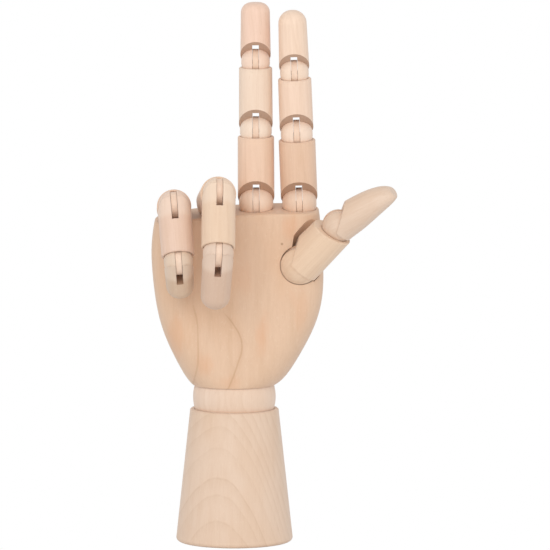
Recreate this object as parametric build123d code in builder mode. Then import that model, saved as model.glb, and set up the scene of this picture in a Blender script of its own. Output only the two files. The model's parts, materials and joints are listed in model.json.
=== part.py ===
from build123d import *
import math
import os

# All sizes are in millimetres and all angles in degrees. +Z is up, the palm faces -Y and the thumb is towards +X.
# Every knuckle is built the same way: the upper piece ends in a slotted ball that sits in the lower piece's cup,
# a flat tongue fixed in the lower piece stands in the slot, and a pin crosses both at the ball's centre.

# Stand
base_bottom_radius = 33.1
base_top_radius = 24.9
base_height = 75.3
base_foot_round = 2.2
base_rim_bevel = 0.5

# Wrist
wrist_ball_radius = 23.3
wrist_ball_height = 82.0
wrist_cup_clearance = 0.3
spring_bore_radius = 5.6

# Wrist spring and its cross pins
spring_wire_radius = 0.8
spring_coil_radius = 3.7
spring_pitch = 3.2
spring_pin_radius = 1.6
spring_eye_clearance = 0.2
spring_lead = 4.9
spring_eye_angle = 290.0
base_pin_height = 30.0
base_pin_length = 57.0
base_bore_floor = 24.0
palm_pin_rise = 12.7
palm_pin_back_reach = 17.5
palm_pin_front_reach = 11.0
palm_pin_height = wrist_ball_height + wrist_ball_radius + palm_pin_rise

# Palm: height of each section, its left and right sides, its depth and how far round its corners are
palm_sections = [
    {"z": 89.0, "left": -23.4, "right": 23.0, "depth": 46.2, "corner": 22.9},
    {"z": 95.0, "left": -28.2, "right": 29.7, "depth": 45.6, "corner": 21.8},
    {"z": 105.0, "left": -33.6, "right": 36.2, "depth": 43.6, "corner": 19.8},
    {"z": 119.0, "left": -39.7, "right": 43.6, "depth": 40.2, "corner": 17.2},
    {"z": 134.0, "left": -43.6, "right": 48.6, "depth": 37.0, "corner": 15.0},
    {"z": 152.0, "left": -45.9, "right": 50.1, "depth": 34.0, "corner": 13.2},
    {"z": 170.0, "left": -46.3, "right": 49.2, "depth": 30.8, "corner": 12.0},
    {"z": 196.0, "left": -44.2, "right": 45.6, "depth": 26.6, "corner": 10.8},
]
palm_top_arc = [(-60.0, 179.4), (-8.0, 187.0), (60.0, 187.6)]
palm_top_angle = 8.0
palm_edge_round = 1.6

# Knuckles
tongue_thickness = 3.4
tongue_inset = 0.9
tongue_half_width = 5.4
tongue_seat_depth = 6.5
slot_side_clearance = 0.15
slot_rise = 1.9
cup_clearance = 0.3
rim_drop = 3.2
rim_chamfer = 0.45
skirt_height = -2.6
first_skirt_height = -1.2
notch_height = 4.2
notch_angle = 43.5
little_notch_height = 7.0
pin_radius = 1.2
pin_running_clearance = 0.05
pin_end_inset = 0.7

# Fingers: where the first knuckle is and the sizes of its three pieces
fingers = {
    "index": {
        "x": 36.6, "z": 191.5, "lengths": (39.5, 35.0, 35.6), "balls": (9.7, 9.0, 8.1), "feet": (10.3, 9.5, 8.6),
        "heads": (10.3, 9.3), "tip": 7.9, "tip_round": 7.4, "notch": notch_height,
    },
    "middle": {
        "x": 12.3, "z": 191.5, "lengths": (41.1, 39.0, 33.4), "balls": (9.7, 9.0, 8.1), "feet": (10.3, 9.5, 8.6),
        "heads": (10.2, 9.3), "tip": 8.1, "tip_round": 5.6, "notch": notch_height,
    },
    "ring": {
        "x": -11.4, "z": 191.5, "lengths": (38.5, 36.0, 33.2), "balls": (9.7, 9.0, 8.6), "feet": (10.2, 9.4, 8.75),
        "heads": (10.0, 9.4), "tip": 8.2, "tip_round": 7.8, "notch": notch_height,
    },
    "little": {
        "x": -34.0, "z": 187.4, "lengths": (31.5, 33.0, 23.6), "balls": (9.2, 8.8, 8.2), "feet": (9.6, 9.3, 8.35),
        "heads": (9.6, 9.2), "tip": 7.7, "tip_round": 7.3, "notch": little_notch_height,
    },
}

# How each finger is set in the palm, and how its three joints are bent in the photograph
finger_angles = {
    "index": {"splay": -2.2, "yaw": 0.0, "bends": (6.0, 0.0, 0.0)},
    "middle": {"splay": -0.2, "yaw": 0.0, "bends": (3.0, 0.0, 0.0)},
    "ring": {"splay": 2.5, "yaw": 4.0, "bends": (76.0, 76.0, 45.0)},
    "little": {"splay": -4.0, "yaw": 2.0, "bends": (80.0, 74.0, 56.0)},
}

# Thumb
thumb_ball_centre = (36.7, -13.4, 157.9)
thumb_tilt_angle = 18.0
thumb_steepest_angle = 80.0
thumb_heading_angle = 46.8
thumb_turn_angle = -3.6
thumb_base_length = 32.8
thumb_base_ball = 11.1
thumb_base_radius = 11.9
thumb_base_head = 11.1
thumb_base_skirt_height = 0.3
thumb_base_notch_height = -13.2
thumb_base_notch_angle = 66.0
thumb_rim_drop = 5.1
thumb_rim_angle = 13.0
thumb_pin_cover = 2.5
thumb_tip_ball = 9.2
thumb_tip_foot = 10.0
thumb_tip_skirt_height = -0.8
thumb_tip_notch_height = -1.1
thumb_tip_notch_angle = 61.0
thumb_sections = [
    {"z": 9.0, "shift": 1.0, "half_height": 9.7, "half_width": 9.7},
    {"z": 15.5, "shift": 1.85, "half_height": 9.0, "half_width": 9.6},
    {"z": 22.0, "shift": 2.7, "half_height": 8.1, "half_width": 9.2},
    {"z": 28.8, "shift": 4.0, "half_height": 6.8, "half_width": 8.3},
    {"z": 33.6, "shift": 5.3, "half_height": 5.3, "half_width": 6.8},
    {"z": 36.8, "shift": 6.7, "half_height": 3.2, "half_width": 4.6},
]
thumb_end_round = 1.4
thumb_swing_clearance = 0.35
thumb_back_angle = 5.0
thumb_forward_angle = 9.0

os.makedirs("parts", exist_ok=True)


def keep(piece, label):
    """Name a finished piece and write its file."""
    piece.label = label
    export_step(piece, "parts/" + label + ".step")


def side_plane(frame):
    """The plane of a turned profile: its x is the radius and its y runs along the piece."""
    return Plane(origin=frame.origin, x_dir=frame.x_dir, z_dir=-frame.y_dir)


def hinge_plane(frame):
    """The plane across the hinge: its x is towards the back and its y runs along the piece."""
    return Plane(origin=frame.origin, x_dir=frame.y_dir, z_dir=frame.x_dir)


def bent(frame, length, bend):
    """The next knuckle's frame: a length along this piece, bent towards the palm about the hinge."""
    centre = frame.from_local_coords(Vector(0, 0, length))
    turned = frame.z_dir.rotate(Axis((0, 0, 0), frame.x_dir), bend)
    return Plane(origin=centre, x_dir=frame.x_dir, z_dir=turned)


def carve_foot(frame, ball_radius, foot_radius, height=notch_height, angle=notch_angle, pin_cover=0):
    """Cut the slanted palm-side notch, add the ball, then cut its slot and pin hole. Runs inside a piece."""
    reach = foot_radius + foot_radius
    slope = math.tan(math.radians(angle))
    with BuildSketch(hinge_plane(frame)) as notch:
        Polygon(
            (-reach, height + slope * reach),
            (-reach, height - slope * reach),
            (reach, height - slope * reach),
            align=None,
        )
    extrude(notch.sketch, amount=reach, both=True, mode=Mode.SUBTRACT)
    Sphere(ball_radius)
    slot_width = tongue_thickness + slot_side_clearance + slot_side_clearance
    slot_top = ball_radius + slot_rise
    with Locations((0, 0, slot_top)):
        Box(
            slot_width,
            reach + reach,
            slot_top + reach,
            align=(Align.CENTER, Align.CENTER, Align.MAX),
            mode=Mode.SUBTRACT,
        )
    hole_end = ball_radius - pin_cover if pin_cover else reach
    with Locations((hole_end, 0, 0)):
        Cylinder(
            pin_radius,
            hole_end + reach,
            rotation=(0, 90, 0),
            align=(Align.CENTER, Align.CENTER, Align.MAX),
            mode=Mode.SUBTRACT,
        )


def carve_head(length, next_ball):
    """Cut the cup for the next ball and the seat for the next tongue. Runs inside a piece."""
    seat_depth = next_ball + tongue_seat_depth
    with Locations((0, 0, length)):
        Sphere(next_ball + cup_clearance, mode=Mode.SUBTRACT)
        Box(
            tongue_thickness,
            tongue_half_width + tongue_half_width,
            seat_depth,
            align=(Align.CENTER, Align.CENTER, Align.MAX),
            mode=Mode.SUBTRACT,
        )


def phalanx(frame, length, ball_radius, foot_radius, head_radius, next_ball, foot_height, notch=notch_height):
    """A finger piece with a ball at its foot and a cup at its head."""
    rim_height = length - rim_drop
    with BuildPart(frame) as piece:
        with BuildSketch(side_plane(frame)):
            Polygon(
                (0, foot_height),
                (foot_radius, foot_height),
                (head_radius, rim_height - rim_chamfer),
                (head_radius - rim_chamfer, rim_height),
                (0, rim_height),
                align=None,
            )
        revolve(axis=Axis(frame.origin, frame.z_dir))
        carve_foot(frame, ball_radius, foot_radius, notch)
        carve_head(length, next_ball)
    return piece.part


def fingertip(frame, length, ball_radius, foot_radius, tip_radius, tip_round):
    """A finger's last piece with a ball at its foot and a rounded end."""
    with BuildPart(frame) as piece:
        with BuildSketch(side_plane(frame)):
            with BuildLine():
                Line((0, skirt_height), (foot_radius, skirt_height))
                Line((foot_radius, skirt_height), (tip_radius, length - tip_round))
                CenterArc((tip_radius - tip_round, length - tip_round), tip_round, 0, 90)
                Line((tip_radius - tip_round, length), (0, length))
                Line((0, length), (0, skirt_height))
            make_face()
        revolve(axis=Axis(frame.origin, frame.z_dir))
        carve_foot(frame, ball_radius, foot_radius)
    return piece.part


def tongue(lower, length, ball_radius):
    """The flat tongue at a lower piece's head: a round head about the ball's centre on a stem in its seat."""
    seat_depth = ball_radius + tongue_seat_depth
    head_radius = ball_radius - tongue_inset
    with BuildPart(lower) as piece:
        with BuildSketch(hinge_plane(lower)):
            with Locations((0, length)):
                Circle(head_radius)
                Rectangle(tongue_half_width + tongue_half_width, seat_depth, align=(Align.CENTER, Align.MAX))
                Circle(pin_radius + pin_running_clearance, mode=Mode.SUBTRACT)
        extrude(amount=tongue_thickness / 2, both=True)
    return piece.part


def hinge_pin(frame, ball_radius, pin_cover=pin_end_inset):
    """The pin across a ball, a little short of the ball's side, or of the wood that covers its far end."""
    far_end = ball_radius - pin_cover
    length = far_end + ball_radius - pin_end_inset
    with BuildPart(frame) as piece:
        with Locations((far_end, 0, 0)):
            Cylinder(pin_radius, length, rotation=(0, 90, 0), align=(Align.CENTER, Align.CENTER, Align.MAX))
    return piece.part


# Stand: a turned cone with a cup on top and a bore for the spring, whose pin is driven in from the side
with BuildPart() as base:
    with BuildSketch(Plane.XZ):
        Polygon(
            (0, 0),
            (base_bottom_radius, 0),
            (base_top_radius, base_height),
            (0, base_height),
            align=None,
        )
    revolve(axis=Axis.Z)
    fillet(base.edges().sort_by(Axis.Z)[0], base_foot_round)
    chamfer(base.edges().filter_by(GeomType.CIRCLE).sort_by(Axis.Z)[-1], base_rim_bevel)
    with Locations((0, 0, wrist_ball_height)):
        Sphere(wrist_ball_radius + wrist_cup_clearance, mode=Mode.SUBTRACT)
    with Locations((0, 0, base_bore_floor)):
        Cylinder(
            spring_bore_radius,
            wrist_ball_height - base_bore_floor,
            align=(Align.CENTER, Align.CENTER, Align.MIN),
            mode=Mode.SUBTRACT,
        )
    with Locations((0, 0, base_pin_height)):
        Cylinder(
            spring_pin_radius,
            base_bottom_radius + base_bottom_radius,
            rotation=(0, 90, 0),
            mode=Mode.SUBTRACT,
        )
keep(base.part, "base")

# Wrist ball with its bore
with BuildPart(Plane.XY.offset(wrist_ball_height)) as wrist_ball:
    Sphere(wrist_ball_radius)
    Cylinder(spring_bore_radius, wrist_ball_radius + wrist_ball_radius, mode=Mode.SUBTRACT)
keep(wrist_ball.part, "wrist_ball")

with BuildPart(Plane.XY.offset(base_pin_height)) as spring_pin_base:
    Cylinder(spring_pin_radius, base_pin_length, rotation=(0, 90, 0))
keep(spring_pin_base.part, "spring_pin_base")

palm_pin_length = palm_pin_back_reach + palm_pin_front_reach
palm_pin_middle = (palm_pin_back_reach - palm_pin_front_reach) / 2
with BuildPart(Plane(origin=(0, palm_pin_middle, palm_pin_height))) as spring_pin_palm:
    Cylinder(spring_pin_radius, palm_pin_length, rotation=(90, 0, 0))
keep(spring_pin_palm.part, "spring_pin_palm")

# Wrist spring: one wire with an eye round each pin and the coils between them
eye_radius = spring_pin_radius + spring_eye_clearance + spring_wire_radius
coil_bottom = base_pin_height + eye_radius + spring_lead
coil_top = palm_pin_height - eye_radius - spring_lead
coil_turns = round((coil_top - coil_bottom) / spring_pitch)
coil_pitch = (coil_top - coil_bottom) / coil_turns
print("wrist spring turns", coil_turns, "least gap to itself", round(coil_pitch - 2 * spring_wire_radius, 3))
low_eye_plane = Plane(origin=(0, 0, base_pin_height), x_dir=(0, 1, 0), z_dir=(1, 0, 0))
high_eye_plane = Plane(origin=(0, 0, palm_pin_height), x_dir=(-1, 0, 0), z_dir=(0, 1, 0))
with BuildPart() as tension_spring:
    with BuildLine() as wire_path:
        coil = Helix(coil_pitch, coil_top - coil_bottom, spring_coil_radius, center=(0, 0, coil_bottom))
        with BuildLine(low_eye_plane):
            low_eye = CenterArc((0, 0), eye_radius, 90, spring_eye_angle)
        with BuildLine(high_eye_plane):
            high_eye = CenterArc((0, 0), eye_radius, -90, spring_eye_angle)
        Spline(low_eye @ 0, coil @ 0, tangents=[-(low_eye % 0), coil % 0])
        Spline(coil @ 1, high_eye @ 0, tangents=[coil % 1, high_eye % 0])
    spring_wire = wire_path.wires()[0]
    with BuildSketch(Plane(origin=spring_wire @ 0, z_dir=spring_wire % 0)):
        Circle(spring_wire_radius)
    sweep(path=spring_wire, is_frenet=True)
keep(tension_spring.part, "tension_spring")

# Frames of every knuckle. A frame's x is its hinge, its z runs along its piece and its -y is the palm side.
knuckles = {}
for name, finger in fingers.items():
    angles = finger_angles[name]
    splay = math.radians(angles["splay"])
    along = Vector(math.sin(splay), 0, math.cos(splay))
    across = Vector(math.cos(splay), 0, -math.sin(splay)).rotate(Axis((0, 0, 0), along), angles["yaw"])
    root = Plane(origin=(finger["x"], 0, finger["z"]), x_dir=across, z_dir=along)
    knuckles[name] = [root]
    first = bent(root, 0, angles["bends"][0])
    second = bent(first, finger["lengths"][0], angles["bends"][1])
    third = bent(second, finger["lengths"][1], angles["bends"][2])
    knuckles[name] += [first, second, third]

# Thumb frames: the thumb swings in a plane that leans forward of the palm's face
heading = math.radians(thumb_steepest_angle)
lean = math.radians(thumb_tilt_angle)
steepest = Vector(math.cos(heading), 0, math.sin(heading))
thumb_hinge = -(Vector(0, 1, 0) * math.cos(lean) + steepest * math.sin(lean))
flat_heading = math.radians(thumb_heading_angle)
flat_side = Vector(-math.sin(flat_heading), 0, math.cos(flat_heading))
thumb_along = flat_side.cross(thumb_hinge).normalized()
if thumb_along.Z < 0:
    thumb_along = -thumb_along
thumb_base_frame = Plane(origin=thumb_ball_centre, x_dir=thumb_hinge, z_dir=thumb_along)
thumb_tip_frame = bent(thumb_base_frame, thumb_base_length, thumb_turn_angle)

# Room in the palm for the notched thumb base over its whole swing
swing_radius = thumb_base_radius + thumb_swing_clearance
swing_reach = thumb_base_length + thumb_sections[-1]["z"]
swing_start = bent(thumb_base_frame, 0, -thumb_back_angle)
swing_end = bent(thumb_base_frame, 0, thumb_forward_angle)
with BuildPart() as swing_room:
    for swing in (swing_start, swing_end):
        with BuildSketch(swing):
            Circle(swing_radius)
        extrude(amount=swing_reach)
    with BuildSketch(side_plane(swing_start)):
        Polygon(
            (-swing_radius, 0),
            (swing_radius, 0),
            (swing_radius, swing_reach),
            (-swing_radius, swing_reach),
            align=None,
        )
    revolve(
        axis=Axis(thumb_base_frame.origin, thumb_base_frame.x_dir),
        revolution_arc=thumb_back_angle + thumb_forward_angle,
    )
    room_slope = math.tan(math.radians(thumb_base_notch_angle))
    room_edge = thumb_base_notch_height - thumb_swing_clearance * math.sqrt(1 + room_slope**2)
    with BuildSketch(hinge_plane(swing_end)) as beside_notch:
        Polygon(
            (-swing_reach, room_edge + room_slope * swing_reach),
            (-swing_reach, room_edge - room_slope * swing_reach),
            (swing_reach, room_edge - room_slope * swing_reach),
            align=None,
        )
    extrude(beside_notch.sketch, amount=swing_reach, both=True, mode=Mode.SUBTRACT)

# Palm: turned round at the wrist and flat at the knuckles
with BuildPart() as palm:
    for section in palm_sections:
        width = section["right"] - section["left"]
        middle = (section["right"] + section["left"]) / 2
        with BuildSketch(Plane.XY.offset(section["z"])):
            with Locations((middle, 0)):
                RectangleRounded(width, section["depth"], section["corner"])
    loft()
    top_reach = palm_sections[-1]["z"]
    slant = math.radians(palm_top_angle)
    top_left, top_middle, top_right = palm_top_arc
    with BuildSketch(Plane.XZ):
        with BuildLine():
            ThreePointArc(top_left, top_middle, top_right)
            Line(top_right, (top_right[0], top_reach + top_reach))
            Line((top_right[0], top_reach + top_reach), (top_left[0], top_reach + top_reach))
            Line((top_left[0], top_reach + top_reach), top_left)
        make_face()
    extrude(amount=top_reach, dir=(0, math.cos(slant), math.sin(slant)), both=True, mode=Mode.SUBTRACT)
    fillet(palm.faces().sort_by(Axis.Z)[-1].edges(), palm_edge_round)
    # Wrist cup, spring bore and the pin's hole from the back
    with Locations((0, 0, wrist_ball_height)):
        Sphere(wrist_ball_radius + wrist_cup_clearance, mode=Mode.SUBTRACT)
    with Locations((0, 0, wrist_ball_height)):
        Cylinder(
            spring_bore_radius,
            palm_pin_height - wrist_ball_height + eye_radius + spring_lead,
            align=(Align.CENTER, Align.CENTER, Align.MIN),
            mode=Mode.SUBTRACT,
        )
    with BuildSketch(Plane(origin=(0, -palm_pin_front_reach, palm_pin_height), z_dir=(0, 1, 0))):
        Circle(spring_pin_radius)
    extrude(amount=wrist_ball_height, mode=Mode.SUBTRACT)
    # Finger cups and tongue seats
    for name, finger in fingers.items():
        seat = finger["balls"][0] + tongue_seat_depth
        with Locations(knuckles[name][0].location):
            Sphere(finger["balls"][0] + cup_clearance, mode=Mode.SUBTRACT)
            Box(
                tongue_thickness,
                tongue_half_width + tongue_half_width,
                seat,
                align=(Align.CENTER, Align.CENTER, Align.MAX),
                mode=Mode.SUBTRACT,
            )
    # Thumb socket, its tongue's seat and the room that the thumb swings in
    with Locations(thumb_base_frame.location):
        Sphere(thumb_base_ball + cup_clearance, mode=Mode.SUBTRACT)
        Box(
            tongue_thickness,
            tongue_half_width + tongue_half_width,
            thumb_base_ball + tongue_seat_depth,
            align=(Align.CENTER, Align.CENTER, Align.MAX),
            mode=Mode.SUBTRACT,
        )
    add(swing_room.part, mode=Mode.SUBTRACT)
keep(palm.part, "palm")

# Fingers
for name, finger in fingers.items():
    root, first, second, third = knuckles[name]
    balls = finger["balls"]
    lengths = finger["lengths"]
    feet = finger["feet"]
    heads = finger["heads"]
    notch = finger["notch"]
    keep(phalanx(first, lengths[0], balls[0], feet[0], heads[0], balls[1], first_skirt_height, notch), name + "_proximal")
    keep(phalanx(second, lengths[1], balls[1], feet[1], heads[1], balls[2], skirt_height), name + "_middle")
    keep(fingertip(third, lengths[2], balls[2], feet[2], finger["tip"], finger["tip_round"]), name + "_distal")
    keep(tongue(root, 0, balls[0]), name + "_proximal_tongue")
    keep(tongue(first, lengths[0], balls[1]), name + "_middle_tongue")
    keep(tongue(second, lengths[1], balls[2]), name + "_distal_tongue")
    keep(hinge_pin(first, balls[0]), name + "_proximal_pin")
    keep(hinge_pin(second, balls[1]), name + "_middle_pin")
    keep(hinge_pin(third, balls[2]), name + "_distal_pin")

# Thumb base: its rim is cut at a slant so that the tip can bend towards the hand
thumb_rim_height = thumb_base_length - thumb_rim_drop
thumb_rim_rise = thumb_base_radius * math.tan(math.radians(thumb_rim_angle))
with BuildPart(thumb_base_frame) as thumb_base:
    with BuildSketch(side_plane(thumb_base_frame)):
        Polygon(
            (0, thumb_base_skirt_height),
            (thumb_base_radius, thumb_base_skirt_height),
            (thumb_base_head, thumb_base_length),
            (0, thumb_base_length),
            align=None,
        )
    revolve(axis=Axis(thumb_base_frame.origin, thumb_base_frame.z_dir))
    with BuildSketch(hinge_plane(thumb_base_frame)) as rim:
        Polygon(
            (-thumb_base_radius - thumb_base_radius, thumb_rim_height - thumb_rim_rise - thumb_rim_rise),
            (thumb_base_radius + thumb_base_radius, thumb_rim_height + thumb_rim_rise + thumb_rim_rise),
            (thumb_base_radius + thumb_base_radius, thumb_base_length + thumb_base_length),
            (-thumb_base_radius - thumb_base_radius, thumb_base_length + thumb_base_length),
            align=None,
        )
    extrude(rim.sketch, amount=thumb_base_length, both=True, mode=Mode.SUBTRACT)
    along_thumb = Axis(thumb_base_frame.origin, thumb_base_frame.z_dir)
    chamfer(thumb_base.faces().sort_by(along_thumb)[-1].edges(), rim_chamfer)
    carve_foot(
        thumb_base_frame,
        thumb_base_ball,
        thumb_base_radius,
        thumb_base_notch_height,
        thumb_base_notch_angle,
        thumb_pin_cover,
    )
    carve_head(thumb_base_length, thumb_tip_ball)
keep(thumb_base.part, "thumb_base")

# Thumb tip: a round foot that runs into a flattened wedge
with BuildPart(thumb_tip_frame) as thumb_tip:
    with BuildSketch(thumb_tip_frame.offset(thumb_tip_skirt_height)):
        Circle(thumb_tip_foot)
    for section in thumb_sections:
        with BuildSketch(thumb_tip_frame.offset(section["z"])):
            with Locations((0, section["shift"])):
                Ellipse(section["half_width"], section["half_height"])
    loft()
    along_tip = Axis(thumb_tip_frame.origin, thumb_tip_frame.z_dir)
    fillet(thumb_tip.faces().sort_by(along_tip)[-1].edges(), thumb_end_round)
    carve_foot(
        thumb_tip_frame,
        thumb_tip_ball,
        thumb_tip_foot,
        thumb_tip_notch_height,
        thumb_tip_notch_angle,
        thumb_pin_cover,
    )
keep(thumb_tip.part, "thumb_tip")
keep(tongue(thumb_base_frame, 0, thumb_base_ball), "thumb_base_tongue")
keep(tongue(thumb_base_frame, thumb_base_length, thumb_tip_ball), "thumb_tip_tongue")
keep(hinge_pin(thumb_base_frame, thumb_base_ball, thumb_pin_cover), "thumb_base_pin")
keep(hinge_pin(thumb_tip_frame, thumb_tip_ball, thumb_pin_cover), "thumb_tip_pin")
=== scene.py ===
import json
import math

import bpy
from mathutils import Matrix, Vector

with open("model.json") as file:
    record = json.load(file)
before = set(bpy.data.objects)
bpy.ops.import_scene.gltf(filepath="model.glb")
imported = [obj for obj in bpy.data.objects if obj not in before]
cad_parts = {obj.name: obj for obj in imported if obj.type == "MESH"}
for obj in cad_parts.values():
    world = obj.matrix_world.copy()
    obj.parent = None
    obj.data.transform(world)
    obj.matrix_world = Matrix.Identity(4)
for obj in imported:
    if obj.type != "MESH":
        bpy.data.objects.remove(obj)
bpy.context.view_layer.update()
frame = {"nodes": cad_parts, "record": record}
NODES = frame["nodes"]

MM = 0.001
MM_PER_METRE = 1000
UP = Vector((0, 0, 1))
ACROSS = Vector((1, 0, 0))
ORIGIN = Vector((0, 0, 0))

# Display values to linear light: a straight foot, then a power curve
DISPLAY_FULL = 255
CURVE_FOOT = 0.04045
FOOT_SLOPE = 12.92
CURVE_SHIFT = 0.055
CURVE_POWER = 2.4


def linear(red, green, blue):
    """A colour given in 0-255 display values, as scene-linear values."""
    out = []
    for value in (red, green, blue):
        share = value / DISPLAY_FULL
        if share <= CURVE_FOOT:
            out.append(share / FOOT_SLOPE)
        else:
            out.append(((share + CURVE_SHIFT) / (1 + CURVE_SHIFT)) ** CURVE_POWER)
    return (out[0], out[1], out[2], 1.0)


# Camera: a long lens far away, a little above the hand
AIM = Vector((22.9 * MM, 0, 150.8 * MM))
CAMERA_DISTANCE = 3.8
CAMERA_RISE = math.radians(6.4)
FIELD_WIDTH = 309.4 * MM
SENSOR = 36.0
FARTHEST_SEEN = 40.0

camera_data = bpy.data.cameras.new("camera")
camera_data.sensor_width = SENSOR
camera_data.lens = SENSOR * CAMERA_DISTANCE / FIELD_WIDTH
camera_data.clip_end = FARTHEST_SEEN
camera = bpy.data.objects.new("camera", camera_data)
bpy.context.scene.collection.objects.link(camera)
camera.location = AIM + Vector((0, -math.cos(CAMERA_RISE), math.sin(CAMERA_RISE))) * CAMERA_DISTANCE
camera.rotation_euler = (AIM - camera.location).to_track_quat("-Z", "Y").to_euler()
bpy.context.scene.camera = camera


# Short calls for shader nodes: each takes sockets or plain values and returns its output socket
def feed(tree, socket, value):
    """Link a socket, or set a plain value on it."""
    if isinstance(value, bpy.types.NodeSocket):
        tree.links.new(value, socket)
    else:
        socket.default_value = value


def maths(tree, operation, first, second=None, clamp=False):
    """A maths node."""
    node = tree.nodes.new("ShaderNodeMath")
    node.operation = operation
    node.use_clamp = clamp
    feed(tree, node.inputs[0], first)
    if second is not None:
        feed(tree, node.inputs[1], second)
    return node.outputs[0]


def plus(tree, first, second, clamp=False):
    """A sum."""
    return maths(tree, "ADD", first, second, clamp)


def minus(tree, first, second):
    """A difference."""
    return maths(tree, "SUBTRACT", first, second)


def times(tree, first, second):
    """A product."""
    return maths(tree, "MULTIPLY", first, second)


def over(tree, first, second):
    """A quotient."""
    return maths(tree, "DIVIDE", first, second)


def power(tree, base, exponent):
    """A power."""
    return maths(tree, "POWER", base, exponent)


def distance(tree, first, second):
    """The root of two squares' sum."""
    return maths(tree, "SQRT", plus(tree, power(tree, first, 2.0), power(tree, second, 2.0)))


def centred(tree, noise, swing):
    """Noise moved to lie about zero and scaled."""
    return times(tree, minus(tree, noise, 0.5), swing)


def vector_maths(tree, operation, first, second):
    """A vector maths node."""
    node = tree.nodes.new("ShaderNodeVectorMath")
    node.operation = operation
    feed(tree, node.inputs[0], first)
    feed(tree, node.inputs[1], second)
    return node.outputs[0]


def noise(tree, place, stretch, detail, roughness=0.5):
    """Noise on coordinates stretched by a factor along each axis."""
    node = tree.nodes.new("ShaderNodeTexNoise")
    node.inputs["Scale"].default_value = 1.0
    node.inputs["Detail"].default_value = detail
    node.inputs["Roughness"].default_value = roughness
    feed(tree, node.inputs["Vector"], vector_maths(tree, "MULTIPLY", place, stretch))
    return node.outputs[0]


def smooth_range(tree, value, low, high, out_low=0.0, out_high=1.0):
    """A value eased from one range to another and held inside it."""
    node = tree.nodes.new("ShaderNodeMapRange")
    node.interpolation_type = "SMOOTHSTEP"
    node.clamp = True
    feed(tree, node.inputs["Value"], value)
    node.inputs["From Min"].default_value = low
    node.inputs["From Max"].default_value = high
    node.inputs["To Min"].default_value = out_low
    node.inputs["To Max"].default_value = out_high
    return node.outputs[0]


def mix(tree, factor, first, second):
    """A mix of two colours."""
    node = tree.nodes.new("ShaderNodeMix")
    node.data_type = "RGBA"
    node.clamp_factor = True
    factors = [socket for socket in node.inputs if socket.name == "Factor" and socket.type == "VALUE"]
    firsts = [socket for socket in node.inputs if socket.name == "A" and socket.type == "RGBA"]
    seconds = [socket for socket in node.inputs if socket.name == "B" and socket.type == "RGBA"]
    feed(tree, factors[0], factor)
    feed(tree, firsts[0], first)
    feed(tree, seconds[0], second)
    return [socket for socket in node.outputs if socket.type == "RGBA"][0]


def parts_of(tree, vector):
    """A vector's three numbers."""
    node = tree.nodes.new("ShaderNodeSeparateXYZ")
    tree.links.new(vector, node.inputs[0])
    return node.outputs["X"], node.outputs["Y"], node.outputs["Z"]


def grey_ramp(tree, value, stops):
    """A ramp through (place, grey) stops."""
    node = tree.nodes.new("ShaderNodeValToRGB")
    elements = node.color_ramp.elements
    while len(elements) > 1:
        elements.remove(elements[-1])
    elements[0].position = stops[0][0]
    elements[0].color = (stops[0][1],) * 3 + (1,)
    for place, grey in stops[1:]:
        elements.new(place).color = (grey, grey, grey, 1)
    tree.links.new(value, node.inputs[0])
    return node.outputs[0]


def curve(tree, value, points):
    """A smooth curve through (in, out) points between zero and one."""
    node = tree.nodes.new("ShaderNodeFloatCurve")
    line = node.mapping.curves[0]
    line.points[0].location = points[0]
    line.points[1].location = points[-1]
    for point in points[1:-1]:
        line.points.new(*point)
    node.mapping.update()
    tree.links.new(value, node.inputs["Value"])
    return node.outputs[0]


def node_group(name, inputs, outputs):
    """A node group with named sockets. Returns the group, its inputs and its outputs."""
    tree = bpy.data.node_groups.new(name, "ShaderNodeTree")
    for side, sockets in (("INPUT", inputs), ("OUTPUT", outputs)):
        for label, kind in sockets:
            tree.interface.new_socket(name=label, in_out=side, socket_type="NodeSocket" + kind)
    given = tree.nodes.new("NodeGroupInput")
    made = tree.nodes.new("NodeGroupOutput")
    return tree, given.outputs, made.inputs


# Maple. The stretches are across, across and along the grain, for millimetres
WANDER_STRETCH = (0.03, 0.03, 0.012)
UNEVEN_STRETCH = (0.11, 0.11, 0.02)
FIBRE_STRETCH = (1.3, 1.3, 0.045)
STREAK_STRETCH = (0.33, 0.33, 0.016)
PORE_STRETCH = (3.4, 3.4, 0.3)
FLECK_STRETCH = (0.9, 2.4, 0.5)
PATCH_STRETCH = (0.035, 0.035, 0.02)
PATCH_SHIFT = (31.0, 7.0, 53.0)
PITH_ASIDE = 14.0
PITH_BEHIND = 46.0
RING_SLOPE = 0.05
RING_UNEVEN = 0.9
LATE_WOOD_POWER = 5.0
EARLY_WOOD_SHARE = 0.06
FIBRE_SHARE = 0.6
STREAK_SHARE = 0.55
FLECK_SHARE = 0.10
FLECK_TONE = (0.93, 0.80, 0.66, 1.0)
# The ledge tone is end grain darkened further with painted shade
LEDGE_GRAIN_AND_SHADE_TONE = (0.30, 0.145, 0.075, 1.0)
# The foot tone is painted light that lightens each piece's foot ball
FOOT_PAINTED_LIGHT_TONE = (0.93, 0.78, 0.65, 1.0)
LEDGE_FROM = 0.5
LEDGE_FULL = 2.5
FOOT_FULL = 6.0
FOOT_END = 10.0
SMOOTH_ROUGHNESS = 0.46
FIBRE_ROUGHNESS = 0.10
FIBRE_DEPTH = -0.35


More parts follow.
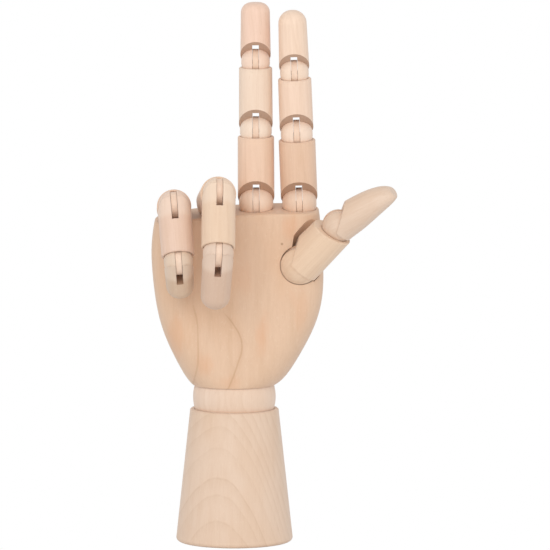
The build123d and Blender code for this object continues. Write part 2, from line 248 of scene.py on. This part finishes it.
def maple_group():
    """Maple in a piece's own frame: growth rings, fibres, pores, flecks, warm patches, end grain darkened with painted
    shade on ledges, and painted light on the foot.
    """
    tree, given, made = node_group(
        "maple",
        (
            ("Vector", "Vector"),
            ("Seed", "Vector"),
            ("Normal", "Vector"),
            ("Tone", "Color"),
            ("Grain Tone", "Color"),
            ("Patch Tone", "Color"),
            ("Ring Spacing", "Float"),
            ("Ring Strength", "Float"),
            ("Wander", "Float"),
            ("Ledge Grain And Shade Strength", "Float"),
            ("Foot Painted Light", "Float"),
            ("Fibre Strength", "Float"),
            ("Pore Strength", "Float"),
            ("Patch Strength", "Float"),
        ),
        (("Color", "Color"), ("Roughness", "Float"), ("Height", "Float")),
    )
    place = vector_maths(tree, "ADD", given["Vector"], given["Seed"])
    x, y, along = parts_of(tree, place)
    wander = centred(tree, noise(tree, place, WANDER_STRETCH, 1.5), given["Wander"])
    across = plus(tree, x, wander)
    deep = plus(tree, y, wander)

    # Growth rings round a far-off pith
    pith_away = distance(tree, plus(tree, across, PITH_ASIDE), minus(tree, deep, PITH_BEHIND))
    turns = over(tree, plus(tree, pith_away, times(tree, along, RING_SLOPE)), given["Ring Spacing"])
    uneven = noise(tree, place, UNEVEN_STRETCH, 2.0)
    turn_share = maths(tree, "FRACT", plus(tree, turns, times(tree, uneven, RING_UNEVEN)))
    late = power(tree, turn_share, LATE_WOOD_POWER)
    early = smooth_range(tree, turn_share, 0.0, EARLY_WOOD_SHARE, 1.0, 0.0)
    ring = plus(tree, late, early, clamp=True)
    ring = times(tree, ring, smooth_range(tree, uneven, 0.3, 0.62, 0.35, 1.0))
    ring = times(tree, ring, given["Ring Strength"])

    # Fibres, pores and short flecks along the grain
    fine = smooth_range(tree, noise(tree, place, FIBRE_STRETCH, 3.0, 0.62), 0.42, 0.72)
    streak = smooth_range(tree, noise(tree, place, STREAK_STRETCH, 2.0), 0.42, 0.7)
    fibre = plus(tree, times(tree, fine, FIBRE_SHARE), times(tree, streak, STREAK_SHARE))
    pore = smooth_range(tree, noise(tree, place, PORE_STRETCH, 1.0), 0.64, 0.76)
    fleck = smooth_range(tree, noise(tree, place, FLECK_STRETCH, 1.0), 0.6, 0.74)

    # Broad warm patches
    patch = noise(tree, vector_maths(tree, "ADD", place, PATCH_SHIFT), PATCH_STRETCH, 2.0)
    patch = times(tree, smooth_range(tree, patch, 0.42, 0.68), given["Patch Strength"])

    colour = mix(tree, patch, given["Tone"], given["Patch Tone"])
    colour = mix(tree, ring, colour, given["Grain Tone"])
    colour = mix(tree, times(tree, fibre, given["Fibre Strength"]), colour, given["Grain Tone"])
    colour = mix(tree, times(tree, pore, given["Pore Strength"]), colour, given["Grain Tone"])
    colour = mix(tree, times(tree, fleck, FLECK_SHARE), colour, FLECK_TONE)

    # Ledges and slot roofs look down the grain: they are end grain and also get painted shade for their hollows, so
    # they are darker; the foot is lighter with painted light
    height = parts_of(tree, given["Vector"])[2]
    facing = parts_of(tree, given["Normal"])[2]
    down = smooth_range(tree, facing, -0.55, -0.25, 1.0, 0.0)
    # The ledge mask: end grain plus painted shade where a surface faces back down the piece
    ledge_grain_and_shade = times(tree, down, smooth_range(tree, height, LEDGE_FROM, LEDGE_FULL))
    # Painted light: the foot ball is lightened towards the bottom of the piece
    foot = smooth_range(tree, height, FOOT_FULL, FOOT_END, 1.0, 0.0)
    foot = times(tree, foot, minus(tree, 1.0, ledge_grain_and_shade))
    colour = mix(tree, times(tree, foot, given["Foot Painted Light"]), colour, FOOT_PAINTED_LIGHT_TONE)
    colour = mix(tree, times(tree, ledge_grain_and_shade, given["Ledge Grain And Shade Strength"]), colour, LEDGE_GRAIN_AND_SHADE_TONE)
    tree.links.new(colour, made["Color"])
    tree.links.new(plus(tree, times(tree, fibre, FIBRE_ROUGHNESS), SMOOTH_ROUGHNESS), made["Roughness"])
    tree.links.new(minus(tree, times(tree, fibre, FIBRE_DEPTH), pore), made["Height"])
    return tree


maple = maple_group()

FIGURE_SOCKETS = ((("Vector", "Vector"), ("Color", "Color")), (("Color", "Color"),))

# The stand's arches, in millimetres: apex heights with strengths, and how they widen and close up
ARCH_MIDDLE = -9.2
ARCH_RISE = 0.05
ARCH_SPAN = 64.0
ARCHES = ((14.9, 0.75), (29.7, 0.55), (39.3, 0.95), (55.7, 0.4))
ARCH_FADE = 6.5
ARCH_LINE = 0.9
ARCH_SHOULDER = 0.45
ARCH_STRENGTH = 0.36
ARCH_WOBBLE = 4.0
WOBBLE_STRETCH = (0.09, 0.09, 0.03)
STREAK_SPACING = 8.5
STREAK_STRENGTH = 0.22
BREAK_STRETCH = (0.4, 0.4, 0.05)
ARCH_TONE = linear(196, 158, 122)


def stand_figure():
    """The stand's flat-sawn arches, which close up into streaks towards its sides."""
    tree, given, made = node_group("stand_figure", *FIGURE_SOCKETS)
    place = given["Vector"]
    across, _, up = parts_of(tree, place)
    wobble = centred(tree, noise(tree, place, WOBBLE_STRETCH, 2.0), ARCH_WOBBLE)
    rise = times(tree, power(tree, minus(tree, across, ARCH_MIDDLE), 2.0), ARCH_RISE)
    level = plus(tree, plus(tree, up, rise), wobble)
    stops = [(0.0, 0.0)]
    for apex, strength in ARCHES:
        stops.append(((apex - ARCH_FADE) / ARCH_SPAN, 0.0))
        stops.append(((apex - ARCH_LINE) / ARCH_SPAN, ARCH_SHOULDER * strength))
        stops.append((apex / ARCH_SPAN, strength))
        stops.append(((apex + ARCH_LINE) / ARCH_SPAN, 0.0))
    lines = grey_ramp(tree, over(tree, level, ARCH_SPAN), stops)
    aside = times(tree, smooth_range(tree, level, 58.0, 72.0), STREAK_STRENGTH)
    streaks = power(tree, maths(tree, "FRACT", over(tree, level, STREAK_SPACING)), 3.0)
    amount = plus(tree, times(tree, lines, ARCH_STRENGTH), times(tree, streaks, aside))
    breaks = smooth_range(tree, noise(tree, place, BREAK_STRETCH, 2.0), 0.25, 0.6, 0.35, 1.0)
    tree.links.new(mix(tree, times(tree, amount, breaks), given["Color"], ARCH_TONE), made["Color"])
    return tree


# The palm's two growth lines: (height, across) points in millimetres, strength, and where each fades out
PALM_LINES = (
    {
        "points": (
            (85, -5.5), (89, -3.5), (101.5, 1.5), (112.3, 4.3),
            (119, 3.0), (124, 0.3), (131, -5.0), (140, -14.0),
        ),
        "strength": 0.42,
        "fade": (126, 134),
    },
    {
        "points": (
            (85, -25.0), (92.8, -22.6), (101.2, -20.7), (115, -20.3),
            (129.8, -21.5), (136, -23.0), (140, -24.0),
        ),
        "strength": 0.34,
        "fade": (130, 139),
    },
)
LINES_LOW = 85
LINES_HEIGHT = 55
LINES_LEFT = -30
LINES_WIDTH = 40
LINE_TONE = linear(184, 138, 98)
LINE_HALF_WIDTH = 0.75
SHADE_HALF_WIDTH = 3.5
SHADE_SHARE = 0.3
RAGGED_STRETCH = (0.16, 0.16, 0.05)
LINE_WOBBLE = 1.2
PATCH_WOBBLE = 2.2
PATCH_EDGE = (0.1, 1.25)
PATCH_TONE = linear(224, 173, 136)

# Warm patches in millimetres: middle across, middle up, half width, half height, strength
PALM_PATCHES = (
    (15.6, 119.0, 4.5, 12.0, 0.55),
    (-15.4, 102.0, 5.5, 9.0, 0.5),
    (-33.0, 117.0, 7.0, 14.0, 0.45),
    (32.0, 178.5, 4.5, 8.0, 0.5),
    (-24.0, 150.0, 5.0, 16.0, 0.3),
    (37.0, 134.0, 6.0, 13.0, 0.3),
    (-3.0, 93.0, 10.0, 5.0, 0.3),
    (4.0, 150.0, 7.0, 12.0, 0.25),
)
KNOT_PLACE = (26.8, 170.0)
KNOT_EDGE = (0.3, 1.0)
KNOT_STRENGTH = 0.6
KNOT_TONE = linear(150, 104, 72)


def palm_figure():
    """The palm's two long growth lines, its warm patches and one small knot."""
    tree, given, made = node_group("palm_figure", *FIGURE_SOCKETS)
    place = given["Vector"]
    across, _, up = parts_of(tree, place)
    ragged = noise(tree, place, RAGGED_STRETCH, 3.0)
    colour = given["Color"]
    uneven = centred(tree, ragged, PATCH_WOBBLE)
    for middle_x, middle_z, half_width, half_height, strength in PALM_PATCHES:
        aside = over(tree, minus(tree, across, middle_x), half_width)
        above = over(tree, minus(tree, up, middle_z), half_height)
        reach = plus(tree, distance(tree, aside, above), uneven)
        amount = times(tree, smooth_range(tree, reach, *PATCH_EDGE, 1.0, 0.0), strength)
        colour = mix(tree, amount, colour, PATCH_TONE)
    share = over(tree, minus(tree, up, LINES_LOW), LINES_HEIGHT)
    wobble = centred(tree, ragged, LINE_WOBBLE)
    for line in PALM_LINES:
        points = [((z - LINES_LOW) / LINES_HEIGHT, (x - LINES_LEFT) / LINES_WIDTH) for z, x in line["points"]]
        line_x = plus(tree, times(tree, curve(tree, share, points), LINES_WIDTH), LINES_LEFT)
        away = maths(tree, "ABSOLUTE", plus(tree, minus(tree, across, line_x), wobble))
        thin = smooth_range(tree, away, 0.0, LINE_HALF_WIDTH, 1.0, 0.0)
        shade = times(tree, smooth_range(tree, away, 0.0, SHADE_HALF_WIDTH, 1.0, 0.0), SHADE_SHARE)
        amount = times(tree, plus(tree, thin, shade, clamp=True), line["strength"])
        amount = times(tree, amount, smooth_range(tree, up, *line["fade"], 1.0, 0.0))
        colour = mix(tree, amount, colour, LINE_TONE)
    knot = distance(tree, minus(tree, across, KNOT_PLACE[0]), minus(tree, up, KNOT_PLACE[1]))
    colour = mix(tree, smooth_range(tree, knot, *KNOT_EDGE, KNOT_STRENGTH, 0.0), colour, KNOT_TONE)
    tree.links.new(colour, made["Color"])
    return tree


def joint_place(name):
    """A joint's place in metres, and its axis."""
    for joint in frame["record"]["behaviour"]["joints"]:
        if joint["name"] == name:
            return Vector(joint["pos_m"]), Vector(joint["axis"])
    raise KeyError(name)


def piece_frame(origin, along, hinge):
    """A piece's own frame: a turn that brings z along the piece and x along its hinge, and the origin."""
    z = along.normalized()
    x = (hinge - z * hinge.dot(z)).normalized()
    return Matrix((x, z.cross(x), z)), origin


def new_material(name):
    """An empty node material with its surface shader and output."""
    material = bpy.data.materials.new(name)
    material.use_nodes = True
    tree = material.node_tree
    tree.nodes.clear()
    output = tree.nodes.new("ShaderNodeOutputMaterial")
    shader = tree.nodes.new("ShaderNodeBsdfPrincipled")
    tree.links.new(shader.outputs[0], output.inputs["Surface"])
    return material, tree, shader


def own_coordinates(tree, turn, origin):
    """Object coordinates in a piece's own frame, in millimetres, and the surface normal in that frame."""
    coords = tree.nodes.new("ShaderNodeTexCoord")
    place = tree.nodes.new("ShaderNodeMapping")
    place.vector_type = "POINT"
    place.inputs["Rotation"].default_value = tuple(turn.to_euler())
    place.inputs["Scale"].default_value = (MM_PER_METRE,) * 3
    place.inputs["Location"].default_value = tuple(-(turn @ (origin * MM_PER_METRE)))
    tree.links.new(coords.outputs["Object"], place.inputs["Vector"])
    normal = tree.nodes.new("ShaderNodeMapping")
    normal.vector_type = "VECTOR"
    normal.inputs["Rotation"].default_value = tuple(turn.to_euler())
    tree.links.new(coords.outputs["Normal"], normal.inputs["Vector"])
    return place.outputs[0], normal.outputs[0]


# A plain piece of wood; a piece's own settings replace these
PLAIN_WOOD = {
    "Seed": (0, 0, 0),
    "Grain Tone": (0.60, 0.37, 0.22, 1),
    "Ring Spacing": 6.0,
    "Ring Strength": 0.16,
    "Wander": 10.0,
    "Ledge Grain And Shade Strength": 0.0,
    "Foot Painted Light": 0.0,
    "Fibre Strength": 0.20,
    "Pore Strength": 0.22,
    "Patch Strength": 0.25,
}
PATCH_SHARES = (0.9, 0.8, 0.68)
SPECULAR = 0.35
SHEEN = 0.22
SHEEN_ROUGHNESS = 0.45
PIECE_EDGE = 0.35 * MM
PALM_EDGE = 0.5 * MM
TONGUE_EDGE = 0.15 * MM
EDGE_SAMPLES = 4
BUMP_STRENGTH = 0.35
BUMP_DEPTH = 0.05 * MM


def wood_material(name, tone, own_frame, settings, edge=PIECE_EDGE, figure=None):
    """A wooden piece's material, with its look on named inputs and any figure of its own drawn over the grain."""
    material, tree, shader = new_material(name)
    place, normal = own_coordinates(tree, *own_frame)
    wood = tree.nodes.new("ShaderNodeGroup")
    wood.node_tree = maple
    tree.links.new(place, wood.inputs["Vector"])
    tree.links.new(normal, wood.inputs["Normal"])
    warmer = tuple(value * share for value, share in zip(tone, PATCH_SHARES)) + (1,)
    looks = {**PLAIN_WOOD, "Tone": tone, "Patch Tone": warmer, **settings}
    for socket, value in looks.items():
        wood.inputs[socket].default_value = value
    colour = wood.outputs["Color"]
    if figure:
        drawn = tree.nodes.new("ShaderNodeGroup")
        drawn.node_tree = figure
        tree.links.new(place, drawn.inputs["Vector"])
        tree.links.new(colour, drawn.inputs["Color"])
        colour = drawn.outputs["Color"]
    tree.links.new(colour, shader.inputs["Base Color"])
    tree.links.new(wood.outputs["Roughness"], shader.inputs["Roughness"])
    shader.inputs["Specular IOR Level"].default_value = SPECULAR
    shader.inputs["Sheen Weight"].default_value = SHEEN
    shader.inputs["Sheen Roughness"].default_value = SHEEN_ROUGHNESS
    round_edge = tree.nodes.new("ShaderNodeBevel")
    round_edge.samples = EDGE_SAMPLES
    round_edge.inputs["Radius"].default_value = edge
    bump = tree.nodes.new("ShaderNodeBump")
    bump.inputs["Strength"].default_value = BUMP_STRENGTH
    bump.inputs["Distance"].default_value = BUMP_DEPTH
    tree.links.new(wood.outputs["Height"], bump.inputs["Height"])
    tree.links.new(round_edge.outputs[0], bump.inputs["Normal"])
    tree.links.new(bump.outputs[0], shader.inputs["Normal"])
    return material


DRAWING_STRETCH = (4000, 4000, 300)
STEEL_DARK = (0.50, 0.49, 0.47, 1)
STEEL_LIGHT = (0.62, 0.61, 0.59, 1)


def steel_material():
    """Plain drawn steel wire and pins, with faint drawing lines."""
    material, tree, shader = new_material("steel")
    coords = tree.nodes.new("ShaderNodeTexCoord")
    lines = noise(tree, coords.outputs["Object"], DRAWING_STRETCH, 2.0)
    tree.links.new(smooth_range(tree, lines, 0.3, 0.7, 0.24, 0.42), shader.inputs["Roughness"])
    tone = mix(tree, smooth_range(tree, lines, 0.35, 0.65), STEEL_DARK, STEEL_LIGHT)
    tree.links.new(tone, shader.inputs["Base Color"])
    shader.inputs["Metallic"].default_value = 1.0
    return material


def dress(node, material):
    """Give a CAD node its material in every slot."""
    data = NODES[node].data
    if len(data.materials) == 0:
        data.materials.append(material)
    for index in range(len(data.materials)):
        data.materials[index] = material


# Tones of the pieces, as they look in even light, except the ring and little fingertips, which carry painted shade
TONES = {
    "base": linear(228, 201, 178),
    "wrist_ball": linear(234, 208, 187),
    "palm": linear(225, 191, 162),
    "index_proximal": linear(231, 196, 169),
    "index_middle": linear(241, 211, 188),
    "index_distal": linear(242, 214, 191),
    "middle_proximal": linear(238, 205, 180),
    "middle_middle": linear(239, 214, 192),
    "middle_distal": linear(240, 206, 185),
    "ring_proximal": linear(236, 205, 178),
    "ring_middle": linear(232, 203, 176),
    # Painted shade: darkened for the shadow that the middle piece casts on this tip
    "ring_distal": linear(213, 183, 161),
    "little_proximal": linear(234, 202, 179),
    "little_middle": linear(231, 200, 180),
    # Painted shade: darkened for the shadow that the middle piece casts on this tip
    "little_distal": linear(210, 182, 156),
    "thumb_base": linear(234, 205, 177),
    "thumb_tip": linear(227, 201, 179),
}
TONGUE_TONE = linear(240, 212, 190)
PALM_PATCH_TONE = linear(224, 180, 142)

BASE_WOOD = {"Seed": (9.2, 0, -8.0), "Ring Spacing": 14.0, "Ring Strength": 0.05, "Fibre Strength": 0.17}
BALL_WOOD = {"Seed": (33, 12, 5)}
PALM_WOOD = {
    "Seed": (4, 60, 7),
    "Ring Spacing": 17.0,
    "Fibre Strength": 0.22,
    "Ring Strength": 0.14,
    "Patch Strength": 0.35,
    "Patch Tone": PALM_PATCH_TONE,
}
# Finger pieces: ledges get end grain with painted shade, and foot balls get painted light
FINGER_WOOD = {"Ledge Grain And Shade Strength": 0.62, "Foot Painted Light": 0.3}
TONGUE_WOOD = {"Ring Strength": 0.1}

upright = piece_frame(ORIGIN, UP, ACROSS)
dress("base", wood_material("wood_base", TONES["base"], upright, BASE_WOOD, figure=stand_figure()))
dress("wrist_ball", wood_material("wood_wrist_ball", TONES["wrist_ball"], upright, BALL_WOOD))
dress("palm", wood_material("wood_palm", TONES["palm"], upright, PALM_WOOD, PALM_EDGE, palm_figure()))


def dress_limb(name, foot, head, wood, tongue_wood):
    """Dress a finger or thumb piece and its tongue, with the grain along the piece. Foot and head are joints."""
    start, hinge = joint_place(foot)
    if head:
        end = joint_place(head)[0]
    else:
        corners = [NODES[name].matrix_world @ vertex.co for vertex in NODES[name].data.vertices]
        end = max(corners, key=lambda corner: (corner - start).length)
    own_frame = piece_frame(start, end - start, hinge)
    dress(name, wood_material("wood_" + name, TONES[name], own_frame, wood))
    tongue = name + "_tongue"
    dress(tongue, wood_material("wood_" + tongue, TONGUE_TONE, own_frame, {**TONGUE_WOOD, **tongue_wood}, TONGUE_EDGE))


# Each piece is cut from its own place in the wood, so no two show the same grain
SEED_STEP = (17.0, 31.0, 23.0)
TONGUE_SEED = 5.0
FINGERS = ("index", "middle", "ring", "little")
FINGER_PIECES = (
    ("proximal", "knuckle", "middle_joint"),
    ("middle", "middle_joint", "tip_joint"),
    ("distal", "tip_joint", None),
)
count = 0
for finger in FINGERS:
    for piece, foot, head in FINGER_PIECES:
        count += 1
        seed = (SEED_STEP[0] * count, SEED_STEP[1] * (count % 4), SEED_STEP[2] * (count % 5))
        head_joint = head and finger + "_" + head
        wood = {**FINGER_WOOD, "Seed": seed}
        tongue_wood = {"Seed": (seed[1], seed[0], TONGUE_SEED)}
        dress_limb(finger + "_" + piece, finger + "_" + foot, head_joint, wood, tongue_wood)
for name, foot, head in (("thumb_base", "thumb_base_joint", "thumb_tip_joint"), ("thumb_tip", "thumb_tip_joint", None)):
    count += 1
    seed = (SEED_STEP[0] * count, SEED_STEP[1], SEED_STEP[2] * (count % 5))
    dress_limb(name, foot, head, {"Seed": seed}, {})

steel = steel_material()
for name in NODES:
    if name.endswith("_pin") or name.startswith("spring_pin") or name == "tension_spring":
        dress(name, steel)

# Floor: white to the camera, pale to everything else
FLOOR_SIZE = 24.0
FLOOR_TONE = (0.86, 0.86, 0.86, 1)
FLOOR_ROUGHNESS = 0.9
WHITE = (1, 1, 1, 1)

bpy.ops.object.select_all(action="DESELECT")
bpy.ops.mesh.primitive_plane_add(size=FLOOR_SIZE, location=(0, 0, 0))
floor = bpy.context.active_object
floor.name = "floor"
floor_material, floor_tree, floor_shader = new_material("floor")
floor_shader.inputs["Base Color"].default_value = FLOOR_TONE
floor_shader.inputs["Roughness"].default_value = FLOOR_ROUGHNESS
path = floor_tree.nodes.new("ShaderNodeLightPath")
glow = floor_tree.nodes.new("ShaderNodeEmission")
glow.inputs["Color"].default_value = WHITE
both = floor_tree.nodes.new("ShaderNodeMixShader")
floor_tree.links.new(path.outputs["Is Camera Ray"], both.inputs["Fac"])
floor_tree.links.new(floor_shader.outputs[0], both.inputs[1])
floor_tree.links.new(glow.outputs[0], both.inputs[2])
floor_tree.links.new(both.outputs[0], floor_tree.nodes["Material Output"].inputs["Surface"])
floor.data.materials.append(floor_material)

# World: a white backdrop to the camera, a dimmer and cooler light to the part
WORLD_LIGHT_TONE = (0.97, 0.985, 1, 1)
WORLD_LIGHT = 0.69

world = bpy.data.worlds.new("world")
bpy.context.scene.world = world
world.use_nodes = True
world_tree = world.node_tree
world_tree.nodes.clear()
world_out = world_tree.nodes.new("ShaderNodeOutputWorld")
world_path = world_tree.nodes.new("ShaderNodeLightPath")
seen = world_tree.nodes.new("ShaderNodeBackground")
seen.inputs["Color"].default_value = WHITE
seen.inputs["Strength"].default_value = 1.0
felt = world_tree.nodes.new("ShaderNodeBackground")
felt.inputs["Color"].default_value = WORLD_LIGHT_TONE
felt.inputs["Strength"].default_value = WORLD_LIGHT
world_mix = world_tree.nodes.new("ShaderNodeMixShader")
world_tree.links.new(world_path.outputs["Is Camera Ray"], world_mix.inputs["Fac"])
world_tree.links.new(felt.outputs[0], world_mix.inputs[1])
world_tree.links.new(seen.outputs[0], world_mix.inputs[2])
world_tree.links.new(world_mix.outputs[0], world_out.inputs["Surface"])

# Soft studio lights: place and size in metres, power in watts, colour
SOFTBOXES = (
    ("key", (-0.3, -1.6, 0.95), (1.5, 1.2), 11.5, (1.0, 0.985, 0.97)),
    ("fill", (1.0, -1.4, 0.5), (0.9, 1.0), 3.0, (1.0, 1.0, 1.0)),
    ("left_edge", (-1.5, -0.15, 0.35), (0.7, 1.2), 2.2, (0.96, 0.98, 1.0)),
    ("right_edge", (1.5, -0.1, 0.35), (0.7, 1.2), 1.5, (0.96, 0.98, 1.0)),
)
for name, place, size, watts, colour in SOFTBOXES:
    data = bpy.data.lights.new(name, "AREA")
    data.shape = "RECTANGLE"
    data.size, data.size_y = size
    data.energy = watts
    data.color = colour
    light = bpy.data.objects.new(name, data)
    bpy.context.scene.collection.objects.link(light)
    light.location = place
    light.rotation_euler = (AIM - Vector(place)).to_track_quat("-Z", "Y").to_euler()

bpy.context.scene.view_settings.view_transform = "Standard"
